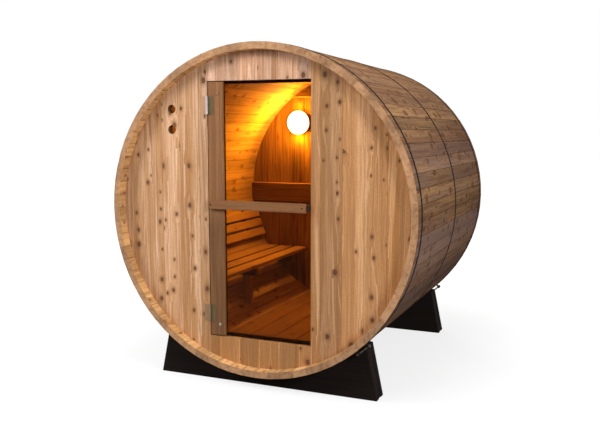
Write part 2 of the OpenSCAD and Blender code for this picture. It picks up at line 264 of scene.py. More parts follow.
def by_stave(tree, x, y, z):
    """Which stave a point is on, and its place across, along and through that stave."""
    up = calc(tree, "SUBTRACT", z, axis_z)
    turn = calc(tree, "DIVIDE", calc(tree, "ARCTAN2", up, x), stave_angle)
    number = calc(tree, "FLOOR", turn)
    middle = calc(tree, "SUBTRACT", calc(tree, "SUBTRACT", turn, number), 0.5)
    square = calc(tree, "ADD", calc(tree, "MULTIPLY", x, x), calc(tree, "MULTIPLY", up, up))
    return number, calc(tree, "MULTIPLY", middle, stave_width_out), y, calc(tree, "SQRT", square)


def by_board(length, width, pitch, first=0.0):
    """The same for flat boards side by side, from the axes of their length and their width.

    A pitch wider than the piece makes it one board.
    """
    def places(tree, x, y, z):
        axes = {"X": x, "Y": y, "Z": z}
        along = axes.pop(length)
        wide = axes.pop(width)
        count = calc(tree, "DIVIDE", calc(tree, "SUBTRACT", wide, first), pitch)
        number = calc(tree, "FLOOR", count)
        middle = calc(tree, "SUBTRACT", calc(tree, "SUBTRACT", count, number), 0.5)
        return number, calc(tree, "MULTIPLY", middle, pitch), along, axes.popitem()[1]
    return places


def cedar(name, places, tones, seed, knots=0.0, streaks=0.55, contrast=0.30, sapwood=0.0, grey=0.0,
          spread=0.24, knot_colour=brown_knot, joint=None, painted_fade=None, shine=0.2, matt=0.74, wave=0.035):
    """Sawn cedar: growth-ring streaks that bend round knots, and a colour for each board.

    tones are the pale, the warm and the late wood. knots is the share of places that hold a knot, and
    spread is how much the boards differ. joint is half the width of a board, the width of the line
    along its edges, and how dark that is. painted_fade is painted light and shade: an axis, two places
    on it, and how much lighter the wood gets from the first to the second, darker where that is below 0.
    """
    pale, warm, late = tones
    material, tree, shader, here = new_finish(name)
    number, across, along, through = places(tree, *split(tree, here))
    luck_a, luck_b, luck_c = luck_of(tree, number, seed)

    # Knots: at most one in each cell, of random place and size, a little long in the grain
    cell_across, cell_along = 0.072, 0.115
    knot_least, knot_growth = 0.0048, 0.0072
    knot_stretch, flow_stretch, missing = 0.75, 0.3, 60
    knot_x = calc(tree, "ADD", calc(tree, "DIVIDE", across, cell_across), calc(tree, "MULTIPLY", luck_a, 57))
    knot_y = calc(tree, "ADD", calc(tree, "DIVIDE", along, cell_along), calc(tree, "MULTIPLY", luck_b, 91))
    cells = tree.nodes.new("ShaderNodeTexVoronoi")
    cells.voronoi_dimensions = "2D"
    cells.inputs["Scale"].default_value = 1
    tree.links.new(point(tree, knot_x, knot_y, 0), cells.inputs["Vector"])
    centre = split(tree, cells.outputs["Position"])
    cell_luck = split(tree, cells.outputs["Color"], "ShaderNodeSeparateColor")
    aside = calc(tree, "MULTIPLY", calc(tree, "SUBTRACT", knot_x, centre[0]), cell_across)
    ahead = calc(tree, "MULTIPLY", calc(tree, "SUBTRACT", knot_y, centre[1]), cell_along)
    mostly_small = calc(tree, "POWER", cell_luck[1], 1.5)
    knot_size = calc(tree, "MULTIPLY_ADD", mostly_small, knot_growth, knot_least)
    absent = calc(tree, "MULTIPLY", calc(tree, "GREATER_THAN", cell_luck[0], knots), missing)

    def away(stretch, uneven):
        """Distance from the knot in knot sizes, with its shape drawn out along the grain."""
        forward = calc(tree, "POWER", calc(tree, "ABSOLUTE", calc(tree, "MULTIPLY", ahead, stretch)), 2)
        square = calc(tree, "ADD", calc(tree, "MULTIPLY", aside, aside), forward)
        length = calc(tree, "ADD", calc(tree, "SQRT", square), uneven)
        return calc(tree, "ADD", calc(tree, "DIVIDE", length, knot_size), absent)

    ragged = calc(tree, "MULTIPLY_ADD", cloud(tree, here, 220, 1), 0.005, -0.0012)
    far = away(knot_stretch, ragged)
    flow = away(flow_stretch, 0.0)

    # Grain: long narrow streaks that wander, and part round each knot
    bend = calc(tree, "MULTIPLY", calc(tree, "MULTIPLY", aside, soft_step(tree, flow, 5.5, 0.6)), 0.82)
    slow = point(tree, across, calc(tree, "MULTIPLY", along, 0.35), calc(tree, "MULTIPLY", luck_b, 9))
    wander = calc(tree, "MULTIPLY_ADD", cloud(tree, slow, 4.5, 1), wave, calc(tree, "MULTIPLY", luck_c, 7))
    grain_x = calc(tree, "ADD", calc(tree, "SUBTRACT", across, bend), wander)
    grain_y = calc(tree, "MULTIPLY_ADD", along, 0.025, calc(tree, "MULTIPLY", luck_a, 3))
    grain = point(tree, grain_x, grain_y, calc(tree, "MULTIPLY", through, 0.4))

    # Streaks of about 60, 12, 3 and 0.7 mm across
    band = soft_step(tree, cloud(tree, grain, 17, 1), 0.36, 0.64)
    rings = soft_step(tree, cloud(tree, grain, 80, 2, 0.62), 0.42, 0.64)
    lines = soft_step(tree, cloud(tree, grain, 330, 2, 0.65), 0.38, 0.68)
    fibre = cloud(tree, grain, 1400, 1)

    tone = calc(tree, "ADD", calc(tree, "MULTIPLY", luck_a, 0.5), calc(tree, "MULTIPLY", band, 0.5))
    colour = tint(tree, tone, pale, warm)
    colour = tint(tree, calc(tree, "MULTIPLY", rings, streaks), colour, late)
    colour = tint(tree, calc(tree, "MULTIPLY", lines, contrast), colour, late)
    if sapwood:
        # Pale strips of sapwood, and thin pale seams between the streaks
        strip = soft_step(tree, cloud(tree, grain, 40, 1), 0.62, 0.70)
        light = tuple(min(1, c * k) for c, k in zip(pale, (1.06, 1.10, 1.14)))
        colour = tint(tree, calc(tree, "MULTIPLY", strip, sapwood), colour, light)
        seam = calc(tree, "ABSOLUTE", calc(tree, "SUBTRACT", cloud(tree, grain, 20, 1), 0.57))
        seam = soft_step(tree, seam, 0.016, 0.004)
        colour = tint(tree, calc(tree, "MULTIPLY", seam, 0.6), colour, light)
    if grey:
        # Weathering, board by board and in long patches, and greyer below the barrel's shoulder
        long_way = point(tree, calc(tree, "MULTIPLY", across, 6), along, calc(tree, "MULTIPLY", luck_c, 40))
        dull = calc(tree, "MULTIPLY", cloud(tree, long_way, 2.2, 3), 0.6)
        dull = soft_step(tree, calc(tree, "MULTIPLY_ADD", luck_b, 0.4, dull), 0.35, 0.62)
        below_shoulder = soft_step(tree, split(tree, here)[2], axis_z + 0.75 * outer_r, axis_z)
        dull = calc(tree, "MULTIPLY", dull, calc(tree, "MULTIPLY_ADD", below_shoulder, 0.75, 0.25))
        colour = tint(tree, calc(tree, "MULTIPLY", dull, grey), colour, weathered_grey)

    # A darker halo round each knot, its almost black edge, and its brown middle
    halo = calc(tree, "MULTIPLY", soft_step(tree, far, 3.2, 1.0), 0.55)
    colour = tint(tree, halo, colour, tuple(c * 0.7 for c in late))
    core = soft_step(tree, far, 1.35, 0.95)
    colour = tint(tree, calc(tree, "MULTIPLY", core, 0.92), colour, tuple(c * 0.6 for c in knot_colour))
    colour = tint(tree, soft_step(tree, far, 0.95, 0.55), colour, knot_colour)

    # How light each board is, with its fibres and its small stains
    value = calc(tree, "MULTIPLY_ADD", luck_c, spread, 1 - spread / 2)
    value = calc(tree, "MULTIPLY", value, calc(tree, "MULTIPLY_ADD", fibre, 0.16, 0.92))
    stains = calc(tree, "MULTIPLY_ADD", cloud(tree, here, 110, 3, 0.65), 0.36, 0.82)
    value = calc(tree, "MULTIPLY", value, stains)
    # Painted light and shade: the wood made lighter or darker along one axis
    if painted_fade:
        axis, start, end, change = painted_fade
        place = soft_step(tree, split(tree, here)[axis], start, end)
        value = calc(tree, "MULTIPLY", value, calc(tree, "MULTIPLY_ADD", place, change, 1.0))
    if joint:
        half_width, line, gap = joint
        edge = calc(tree, "ABSOLUTE", across)
        edge = soft_step(tree, edge, half_width - 0.0015 - line, half_width - 0.001)
        value = calc(tree, "MULTIPLY", value, calc(tree, "MULTIPLY_ADD", edge, -gap, 1.0))
    feed(tree, shader.inputs["Base Color"], shaded(tree, colour, value))

    rough = calc(tree, "MULTIPLY_ADD", rings, -0.10, matt)
    rough = calc(tree, "SUBTRACT", rough, calc(tree, "MULTIPLY", core, 0.12))
    feed(tree, shader.inputs["Roughness"], rough)
    feed(tree, shader.inputs["Specular IOR Level"], shine)
    height = calc(tree, "ADD", calc(tree, "MULTIPLY", lines, 0.5), calc(tree, "MULTIPLY", fibre, 0.3))
    height = calc(tree, "SUBTRACT", height, calc(tree, "MULTIPLY", core, 0.8))
    raise_surface(tree, shader, height, 0.0006, 0.7)
    return material


def end_grain(name, places, tones, seed):
    """The sawn ends: growth rings in arcs, stains, and a colour for each board."""
    pale, late = tones
    ring_pitch = 0.0065
    material, tree, shader, here = new_finish(name)
    number, across, _, through = places(tree, *split(tree, here))
    luck_a, luck_b, luck_c = luck_of(tree, number, seed)
    pith_x = calc(tree, "ADD", across, calc(tree, "MULTIPLY_ADD", luck_a, 0.10, -0.05))
    pith_z = calc(tree, "SUBTRACT", through, calc(tree, "MULTIPLY_ADD", luck_b, 0.05, outer_r + 0.02))
    ring = calc(tree, "ADD", calc(tree, "MULTIPLY", pith_x, pith_x), calc(tree, "MULTIPLY", pith_z, pith_z))
    ring = calc(tree, "SQRT", ring)
    ring = calc(tree, "ADD", ring, calc(tree, "MULTIPLY", cloud(tree, here, 30, 1), 0.006))
    rings = calc(tree, "SINE", calc(tree, "MULTIPLY", ring, 2 * math.pi / ring_pitch))
    rings = soft_step(tree, rings, -0.2, 0.9)
    colour = tint(tree, calc(tree, "MULTIPLY", rings, 0.4), pale, late)
    stain = soft_step(tree, cloud(tree, here, 34, 4, 0.7), 0.42, 0.66)
    colour = tint(tree, calc(tree, "MULTIPLY", stain, 0.6), colour, late)
    value = calc(tree, "MULTIPLY_ADD", luck_c, 0.44, 0.80)
    feed(tree, shader.inputs["Base Color"], shaded(tree, colour, value))
    feed(tree, shader.inputs["Specular IOR Level"], 0.1)
    feed(tree, shader.inputs["Roughness"], calc(tree, "MULTIPLY_ADD", rings, 0.1, 0.82))
    raise_surface(tree, shader, calc(tree, "ADD", rings, cloud(tree, here, 500, 2)), 0.0005, 0.6)
    return material


# Painted shade: the staves' outsides darken towards the bottom of the barrel.
weathered_cedar = cedar("weathered_cedar", by_stave, outside_tones, seed=9, knots=0.55, streaks=0.50,
                        contrast=0.42, grey=0.65, spread=0.44, joint=(stave_width_out / 2, 0.001, 0.5),
                        painted_fade=(2, axis_z - 0.05, axis_z - 0.6, -0.14), shine=0.0, matt=0.95, wave=0.003)
# Painted light: the staves' insides are much paler within the rim's depth at the front, where light falls on them.
indoor_cedar = cedar("indoor_cedar", by_stave, inside_tones, seed=3, knots=0.45, spread=0.45,
                     joint=(stave_width_in / 2, 0.001, 0.35),
                     painted_fade=(1, front_y + rim_depth + 0.003, front_y + rim_depth - 0.003, 0.66))
stave_ends = end_grain("stave_ends", by_stave, stave_end_tones, seed=3)

stave = slab(Vector((inner_r * math.cos(stave_angle / 2), front_y, axis_z - stave_width_in / 2)),
             Vector((outer_r * math.cos(stave_angle / 2), back_y, axis_z + stave_width_in / 2)))
choose(stave, "FACE", lambda middle, way: way.x > 0.9)
bpy.ops.transform.resize(value=(1, 1, stave_width_out / stave_width_in), center_override=(0, 0, axis_z))
choose(stave, "EDGE", lambda middle, way: abs(way.y) > 0.9)
bpy.ops.mesh.bevel(offset=stave_edge, segments=1, affect="EDGES")
choose(stave, "EDGE", lambda middle, way: abs(middle.y) > back_y - 0.001)
bpy.ops.mesh.bevel(offset=stave_end_edge, segments=1, affect="EDGES")
bpy.ops.object.mode_set(mode="OBJECT")
dress(stave, indoor_cedar, weathered_cedar, stave_ends)
finish_faces(stave, 1, lambda middle, way: way.x > 0.3)
finish_faces(stave, 2, lambda middle, way: abs(way.y) > 0.9)

chance = random.Random(7)
to_axis = Matrix.Translation((0, 0, axis_z))
for place, letter in enumerate(stave_sets):
    row = []
    for step in range(staves_in_a_set):
        turn = (place * staves_in_a_set + step + 0.5) * stave_angle
        shorten = Matrix.Scale(1 - chance.uniform(0, stave_end_slack) / back_y, 4, (0, 1, 0))
        move = to_axis @ Matrix.Rotation(-turn, 4, "Y") @ to_axis.inverted() @ shorten
        row.append(copy_of(stave, f"stave_{letter}_{step}", move))
    stave_row = joined(row, f"stave_row_{letter}")
    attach(stave_row, "cabin")
    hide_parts(f"staves_{letter}")
bpy.data.objects.remove(stave)

# ---- The end walls ----
# Upright tongue and groove cedar boards fill both ends and sit in grooves in the staves. A groove
# runs down the middle of each board too, and its edges are bevelled, so joints and grooves look alike.
board_pitch = 0.1225
board_edge = 0.0010
groove_depth = 0.0008
cutter_room = 0.05
past_the_rim = 1.03
wall_late = (0.33, 0.140, 0.050)
wall_knot = (0.16, 0.060, 0.028)
# For each part of the front wall: pale and warm wood, seed, and the line along a board's edges, its
# width and how dark it is. The parts' tones hold painted light and shade: the top is painted paler,
# the right and the sill darker and more saturated. The sill's lines are paler than its boards, a
# painted highlight along its edges.
wall_part_tones_lit_and_shaded = {"left": ((0.74, 0.465, 0.295), (0.44, 0.205, 0.058), 11, 0.001, 0.12),
              "right": ((0.67, 0.368, 0.180), (0.375, 0.152, 0.032), 12, 0.001, 0.12),
              "top": ((0.79, 0.50, 0.35), (0.53, 0.265, 0.125), 13, 0.001, 0.12),
              "sill": ((0.475, 0.24, 0.093), (0.33, 0.148, 0.043), 14, 0.004, -0.6)}
back_wall_tones = (0.33, 0.170, 0.060), (0.23, 0.110, 0.036), (0.11, 0.042, 0.013)
# The vent holes' walls are dark end grain, darkened further as painted shade in the holes.
vent_shade_tones = (0.15, 0.075, 0.030), (0.12, 0.058, 0.022), (0.07, 0.030, 0.012)

back_low, back_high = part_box("back_wall")
wall_r = (back_high.x - back_low.x) / 2
wall_thick = back_high.y - back_low.y
wall_face_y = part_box("front_wall_sill")[0].y
door_half_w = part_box("front_wall_top")[1].x
door_half_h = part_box("front_wall_top")[0].z - axis_z
wall_boards = by_board("Z", "X", board_pitch)
narrow_boards = by_board("Z", "X", board_pitch / 2)

# Painted shade: the right part's boards darken towards the doorway.
shade_beside_door = (0, door_half_w + 0.22, door_half_w + 0.06, -0.12)
wall_cedar = {}
for place, (pale, warm, seed, line, gap) in wall_part_tones_lit_and_shaded.items():
    wall_cedar[place] = cedar(f"wall_cedar_{place}", wall_boards, (pale, warm, wall_late), seed,
                              knots=0.46, streaks=0.58, sapwood=0.55, spread=0.36,
                              knot_colour=wall_knot, joint=(board_pitch / 2, line, gap),
                              painted_fade=shade_beside_door if place == "right" else None)
back_wall_cedar = cedar("back_wall_cedar", narrow_boards, back_wall_tones, seed=29, knots=0.15,
                        streaks=0.8, spread=0.5, joint=(board_pitch / 4, 0.001, 0.4))
vent_shaded_cedar = cedar("vent_shaded_cedar", by_board("Y", "X", 0.5), vent_shade_tones, seed=19)

wall_board = slab(Vector((-board_pitch / 2, 0, axis_z - outer_r)),
                  Vector((board_pitch / 2, wall_thick, axis_z + outer_r)))
choose(wall_board, "EDGE", lambda middle, way: abs(way.z) > 0.9)
bpy.ops.mesh.bevel(offset=board_edge, segments=1, affect="EDGES")
for side in (-board_edge, 0, board_edge):
    bpy.ops.mesh.select_all(action="SELECT")
    bpy.ops.mesh.bisect(plane_co=(side, 0, axis_z), plane_no=(1, 0, 0))
for face_y, inward in ((0, groove_depth), (wall_thick, -groove_depth)):
    choose(wall_board, "EDGE", lambda middle, way: abs(way.z) > 0.9 and abs(middle.x) < 0.0002
           and abs(middle.y - face_y) < 0.0005)
    bpy.ops.transform.translate(value=(0, inward, 0))
bpy.ops.object.mode_set(mode="OBJECT")


def trim(piece, tool, operation):
    """Cuts a piece with another: INTERSECT keeps what is inside the tool, DIFFERENCE the rest."""
    cutter = piece.modifiers.new("cut", "BOOLEAN")
    cutter.operation = operation
    cutter.object = tool
    cutter.solver = "EXACT"
    take_up(piece)
    bpy.ops.object.modifier_apply(modifier=cutter.name)


def beyond(value, edge):
    """A coordinate as it is at the doorway, and pushed out past the rim elsewhere."""
    return value if abs(value) < edge + 0.001 else value * past_the_rim


def boards_in(part, face_y, holes=()):
    """The wall boards that stand in one part of a wall, cut to the round and to the doorway."""
    low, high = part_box(part)
    drum = rod(wall_r, Vector((0, face_y - 2 * cutter_room, axis_z)),
               Vector((0, face_y + 4 * cutter_room, axis_z)), sides=180)
    block = slab(Vector((beyond(low.x, door_half_w), face_y - cutter_room,
                         axis_z + beyond(low.z - axis_z, door_half_h))),
                 Vector((beyond(high.x, door_half_w), face_y + 2 * cutter_room,
                         axis_z + beyond(high.z - axis_z, door_half_h))))
    row = []
    for place in range(math.floor(low.x / board_pitch), math.ceil(high.x / board_pitch)):
        move = Matrix.Translation(((place + 0.5) * board_pitch, face_y, 0))
        board = copy_of(wall_board, f"{part}_{place}", move)
        for tool in (drum, block):
            trim(board, tool, "INTERSECT")
        for hole in holes:
            trim(board, hole, "DIFFERENCE")
        row.append(board)
    for tool in (drum, block, *holes):
        bpy.data.objects.remove(tool)
    row = [board for board in row if len(board.data.polygons)]
    return joined(row, f"{part}_boards")


vent_mounts = [mount for mount in frame["record"]["mounts"] if mount["name"].startswith("vent")]
vent_r = vent_mounts[0]["dims"]["r_mm"] / 1000
vent_reach = Vector((0, 0.1, 0))
vents = [rod(vent_r, Vector(mount["pos_m"]) - vent_reach, Vector(mount["pos_m"]) + vent_reach, sides=40)
         for mount in vent_mounts]


def in_a_vent(middle, way):
    """Whether a face is part of the wall of a vent hole."""
    reach = min(math.hypot(middle.x - mount["pos_m"][0], middle.z - mount["pos_m"][2])
                for mount in vent_mounts)
    return abs(way.y) < 0.2 and reach < vent_r + 0.001


for place, finish in wall_cedar.items():
    wall = boards_in(f"front_wall_{place}", wall_face_y, vents if place == "left" else ())
    dress(wall, finish)
    if place == "left":
        wall.data.materials.append(vent_shaded_cedar)
        finish_faces(wall, 1, in_a_vent)
    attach(wall, "cabin")
    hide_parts(f"front_wall_{place}")
wall = boards_in("back_wall", back_low.y)
dress(wall, back_wall_cedar, wall_cedar["right"])
finish_faces(wall, 1, lambda middle, way: way.y > 0.5)
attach(wall, "cabin")
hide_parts("back_wall")
bpy.data.objects.remove(wall_board)

# ---- The hoops and their bolts ----
# Three flat steel straps, coated black, run round the staves. The ends of each turn up as lugs, low
# on the right, or on the left for the middle hoop, and a zinc-plated bolt draws them together.
hoop_tones = (0.016, 0.009, 0.007), (0.030, 0.018, 0.013)
bolt_tones = (0.11, 0.09, 0.07), (0.030, 0.024, 0.019)


def metal(name, colour, worn, roughness, shine, gloss=0.25):
    """Steel with a coat: small stains and scratches where the coat is thin."""
    material, tree, shader, here = new_finish(name)
    stain = soft_step(tree, cloud(tree, here, 60, 4, 0.65), 0.42, 0.72)
    feed(tree, shader.inputs["Base Color"], tint(tree, stain, colour, worn))
    x, y, z = split(tree, here)
    scratch = cloud(tree, point(tree, calc(tree, "MULTIPLY", x, 6), y, z), 300, 2)
    feed(tree, shader.inputs["Metallic"], shine)
    feed(tree, shader.inputs["Roughness"], calc(tree, "MULTIPLY_ADD", scratch, 0.25, roughness))
    feed(tree, shader.inputs["Specular IOR Level"], gloss)
    raise_surface(tree, shader, cloud(tree, here, 700, 2), 0.0002, 0.4)
    return material


def coat(finish, *names):
    """Gives CAD nodes their finish."""
    for name in names:
        for place in frame["nodes"][name].material_slots:
            place.material = finish


hoop_steel = metal("hoop_steel", *hoop_tones, 0.6, shine=0.0, gloss=0.03)
bolt_steel = metal("bolt_steel", *bolt_tones, 0.35, shine=0.6)
coat(hoop_steel, "front_hoop", "middle_hoop", "back_hoop")
coat(bolt_steel, "front_hoop_bolt", "middle_hoop_bolt", "back_hoop_bolt")

# ---- The cradles ----
# Two pairs of softwood boards with a spacer between them, sawn to the barrel's curve and stained
# black. The arrises are taken off, and the grain just shows through the stain.
cradle_edge = 0.004
black_tones = (0.015, 0.0105, 0.0090), (0.012, 0.0085, 0.0075), (0.018, 0.012, 0.010)


def eased(node, name, edge, finish, body):
    """Stands for a sawn CAD piece: the same shape with its arrises taken off."""
    piece = bpy.data.objects.new(name, frame["nodes"][node].data.copy())
    bpy.context.scene.collection.objects.link(piece)
    dress(piece, finish)
    choose(piece, "FACE", lambda middle, way: True)
    bpy.ops.mesh.remove_doubles(threshold=0.00005)
    bpy.ops.mesh.dissolve_limited(angle_limit=math.radians(1))
    bpy.ops.object.mode_set(mode="OBJECT")
    arris = piece.modifiers.new("arris", "BEVEL")
    arris.width = edge
    arris.segments = 2
    arris.limit_method = "ANGLE"
    arris.angle_limit = math.radians(35)
    take_up(piece)
    bpy.ops.object.modifier_apply(modifier=arris.name)
    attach(piece, body)
    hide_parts(node)
    return piece


black_stain = cedar("black_stain", by_board("X", "Z", 0.4), black_tones, seed=41, streaks=0.4,
                    shine=0.04, matt=0.9)
for end in ("front", "back"):
    eased(f"{end}_cradle_boards", f"{end}_cradle_pair", cradle_edge, black_stain, "cabin")
    eased(f"{end}_cradle_spacer", f"{end}_cradle_core", cradle_edge, black_stain, "cabin")

# ---- The door ----
# A sheet of bronze glass is held in a grooved cedar stile and closes against black strips round the
# doorway. A flat cedar bar, screwed on at both ends, is the handle. Two bolts go through the stile,
# the upper one faded and the lower one bright.
door_wood_edge = 0.003
stile_bolt_x = -0.246
stile_bolt_rise = 0.648
stile_bolt_r, stile_bolt_proud = 0.0085, 0.0045
bar_screw_r, bar_screw_proud = 0.0045, 0.002
bar_screw_insets = 0.011, 0.021
stile_tones = (0.335, 0.160, 0.067), (0.25, 0.110, 0.037), (0.165, 0.066, 0.026)
bar_tones = (0.295, 0.133, 0.050), (0.245, 0.103, 0.036), (0.165, 0.066, 0.026)
glass_tones = (0.71, 0.48, 0.25), (0.69, 0.46, 0.23)
glass_glint = (0.05, 0.035, 0.025)
strip_tones = (0.016, 0.008, 0.004), (0.030, 0.016, 0.008)
fitting_tones = (0.030, 0.016, 0.010), (0.055, 0.030, 0.018)
faded_tones = (0.33, 0.19, 0.11), (0.24, 0.13, 0.07)
bright_tones = (0.42, 0.36, 0.32), (0.30, 0.25, 0.21)

stile_front_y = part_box("door_stile")[0].y
bar_low, bar_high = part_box("handle_bar")
# Painted shade: the stile darkens towards its bottom.
stile_cedar = cedar("stile_cedar", by_board("Z", "X", 0.5, -0.5), stile_tones, seed=5, streaks=0.6,
                    painted_fade=(2, axis_z + 0.05, axis_z - 0.12, -0.34))
bar_cedar = cedar("bar_cedar", by_board("X", "Z", 0.5, axis_z - 0.2), bar_tones, seed=8, streaks=0.5)
eased("door_stile", "door_stile_eased", door_wood_edge, stile_cedar, "door")
eased("handle_bar", "handle_bar_eased", door_wood_edge, bar_cedar, "door")

bronze_glass, tree, shader, here = new_finish("bronze_glass")
smear = cloud(tree, here, 9, 3, 0.6)
feed(tree, shader.inputs["Transmission Weight"], 1)
feed(tree, shader.inputs["IOR"], 1.45)
feed(tree, shader.inputs["Specular Tint"], glass_glint)
feed(tree, shader.inputs["Base Color"], tint(tree, smear, *glass_tones))
feed(tree, shader.inputs["Roughness"], calc(tree, "MULTIPLY", smear, 0.02))
coat(bronze_glass, "door_glass")

# The stops round the doorway are near black.
dark_stop_finish, tree, shader, here = new_finish("dark_door_stops")
feed(tree, shader.inputs["Base Color"], tint(tree, cloud(tree, here, 90, 3), *strip_tones))
feed(tree, shader.inputs["Roughness"], 0.8)
feed(tree, shader.inputs["Specular IOR Level"], 0.1)
raise_surface(tree, shader, cloud(tree, here, 400, 2), 0.0004, 0.5)
coat(dark_stop_finish, "door_stops")

dark_fitting = metal("dark_fitting", *fitting_tones, 0.5, shine=0.0, gloss=0.1)
coat(dark_fitting, "handle_spacer", "door_catch")


def round_head(radius, height, name):
    """A round-headed screw facing -Y, with a hollow in it, at the origin."""
    start_piece()
    bpy.ops.mesh.primitive_cylinder_add(vertices=24, radius=radius, depth=height,
                                        rotation=(math.pi / 2, 0, 0), location=(0, -height / 2, 0))
    head = settle(bpy.context.object)
    choose(head, "FACE", lambda middle, way: way.y < -0.9)
    bpy.ops.mesh.bevel(offset=height * 0.6, segments=4, affect="EDGES")
    choose(head, "FACE", lambda middle, way: way.y < -0.99 and middle.y < -height * 0.9)
    bpy.ops.mesh.inset(thickness=radius * 0.18)
    bpy.ops.mesh.extrude_region_move(TRANSFORM_OT_translate={"value": (0, height * 0.45, 0)})
    bpy.ops.object.mode_set(mode="OBJECT")
    head.name = name
    return head


def set_screws(head, name, spots, finish, body):
    """Screws like one head, joined as a set that rides on a body."""
    row = [copy_of(head, f"{name}_{place}", Matrix.Translation(spot)) for place, spot in enumerate(spots)]
    screws = joined(row, name)
    dress(screws, finish)
    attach(screws, body)


bolt_head = round_head(stile_bolt_r, stile_bolt_proud, "bolt_head")
faded_steel = metal("faded_steel", *faded_tones, 0.5, shine=0.3)
bright_steel = metal("bright_steel", *bright_tones, 0.4, shine=0.6)
for place, rise, finish in (("upper", stile_bolt_rise, faded_steel),
                            ("lower", -stile_bolt_rise, bright_steel)):
    spot = Vector((stile_bolt_x, stile_front_y, axis_z + rise))
    set_screws(bolt_head, f"{place}_stile_bolt", [spot], finish, "door")
bar_screw = round_head(bar_screw_r, bar_screw_proud, "bar_screw")
bar_screw_z = (bar_low.z + bar_high.z) / 2
spots = [Vector((x, bar_low.y, bar_screw_z))
         for x in (bar_low.x + bar_screw_insets[0], bar_high.x - bar_screw_insets[1])]
set_screws(bar_screw, "bar_screws", spots, dark_fitting, "door")

# ---- The hinges ----
# Two steel butt hinges join the stile to the wall, with three screws in each leaf. The upper
# knuckle is pale with a painted highlight, and the leaves and the lower hinge are dull and take the
# wood's colour as a painted reflection.
hinge_screw_r, hinge_screw_proud = 0.004, 0.0009
hinge_screw_rises = (-0.034, 0, 0.034)
hinge_screw_inset = 0.012
hinge_leaf_proud = 0.002
knuckle_highlight = (0.62, 0.52, 0.50), (0.48, 0.38, 0.35)
knuckle_dull = (0.25, 0.15, 0.08)
lower_wall_leaf = (0.30, 0.19, 0.10), (0.24, 0.15, 0.075)
upper_wall_leaf = (0.45, 0.26, 0.145)
door_leaf = (0.13, 0.088, 0.036), (0.10, 0.066, 0.026)

hinge_x = frame["joints"][0]["pos_m"][0]
knuckle_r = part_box("upper_hinge_wall_leaf")[1].x - hinge_x
hinge_steel, tree, shader, here = new_finish("hinge_steel")
beside = calc(tree, "SUBTRACT", split(tree, here)[0], hinge_x)
# Painted highlight: only the upper knuckle is pale. The leaves' and the lower hinge's brown is a painted
# reflection of the wood round them.
upper_one = soft_step(tree, split(tree, here)[2], axis_z - 0.1, axis_z + 0.1)
knuckle = tint(tree, cloud(tree, here, 45, 3), *knuckle_highlight)
knuckle = tint(tree, upper_one, knuckle_dull, knuckle)
wall_side = tint(tree, cloud(tree, here, 30, 3), *lower_wall_leaf)
wall_side = tint(tree, upper_one, wall_side, upper_wall_leaf)
door_side = tint(tree, cloud(tree, here, 30, 3), *door_leaf)
plates = tint(tree, soft_step(tree, beside, -0.001, 0.001), wall_side, door_side)
on_a_plate = soft_step(tree, calc(tree, "ABSOLUTE", beside), knuckle_r, knuckle_r + 0.0005)
feed(tree, shader.inputs["Base Color"], tint(tree, on_a_plate, knuckle, plates))
feed(tree, shader.inputs["Metallic"], 0.2)
feed(tree, shader.inputs["Specular IOR Level"], 0.3)
feed(tree, shader.inputs["Roughness"], calc(tree, "MULTIPLY_ADD", cloud(tree, here, 220, 2), 0.2, 0.42))
raise_surface(tree, shader, cloud(tree, here, 600, 2), 0.0002, 0.4)
hinge_screw = round_head(hinge_screw_r, hinge_screw_proud, "hinge_screw")
for place in ("upper", "lower"):
    coat(hinge_steel, f"{place}_hinge_wall_leaf", f"{place}_hinge_door_leaf")
    for leaf, body in (("wall", "cabin"), ("door", "door")):
        low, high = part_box(f"{place}_hinge_{leaf}_leaf")
        x = low.x + hinge_screw_inset if leaf == "wall" else high.x - hinge_screw_inset
        middle_z = (low.z + high.z) / 2
        spots = [Vector((x, wall_face_y - hinge_leaf_proud, middle_z + rise)) for rise in hinge_screw_rises]
        set_screws(hinge_screw, f"{place}_{leaf}_leaf_screws", spots, hinge_steel, body)
for pattern in (bolt_head, bar_screw, hinge_screw):
    bpy.data.objects.remove(pattern)

# ---- The back wall battens and the lamp ----
# Two wide cedar boards tie the back wall together inside, and their bevelled edges are painted pale,
# a painted highlight where the lamp's light catches them. Between them hangs a round lamp with an
# opal glass dome on a dark rim.
batten_edge = 0.004
batten_tones = (0.22, 0.100, 0.036), (0.15, 0.065, 0.022), (0.07, 0.028, 0.010)
batten_highlight_tones = (0.66, 0.38, 0.16), (0.52, 0.28, 0.11), (0.30, 0.14, 0.05)
lamp_rim_tones = (0.22, 0.10, 0.035), (0.16, 0.07, 0.025)
opal_tones = (0.90, 0.84, 0.70), (0.95, 0.90, 0.78)
opal_light = (0.75, 0.80, 0.96), (0.78, 0.83, 1.0)

batten_cedar = cedar("batten_cedar", by_board("X", "Z", 0.25, axis_z - 0.2), batten_tones, seed=17,
                     knots=0.15, streaks=0.8)
# Painted highlight: the bevelled edges are paler than the faces.
batten_arris_highlight = cedar("batten_arris_highlight", by_board("X", "Y", 0.25, 0.5), batten_highlight_tones, seed=18)
for place in ("lower", "upper"):
    board = eased(f"{place}_batten", f"{place}_batten_board", batten_edge, batten_cedar, "cabin")
    board.data.materials.append(batten_arris_highlight)
    finish_faces(board, 1, lambda middle, way: abs(way.z) > 0.3)

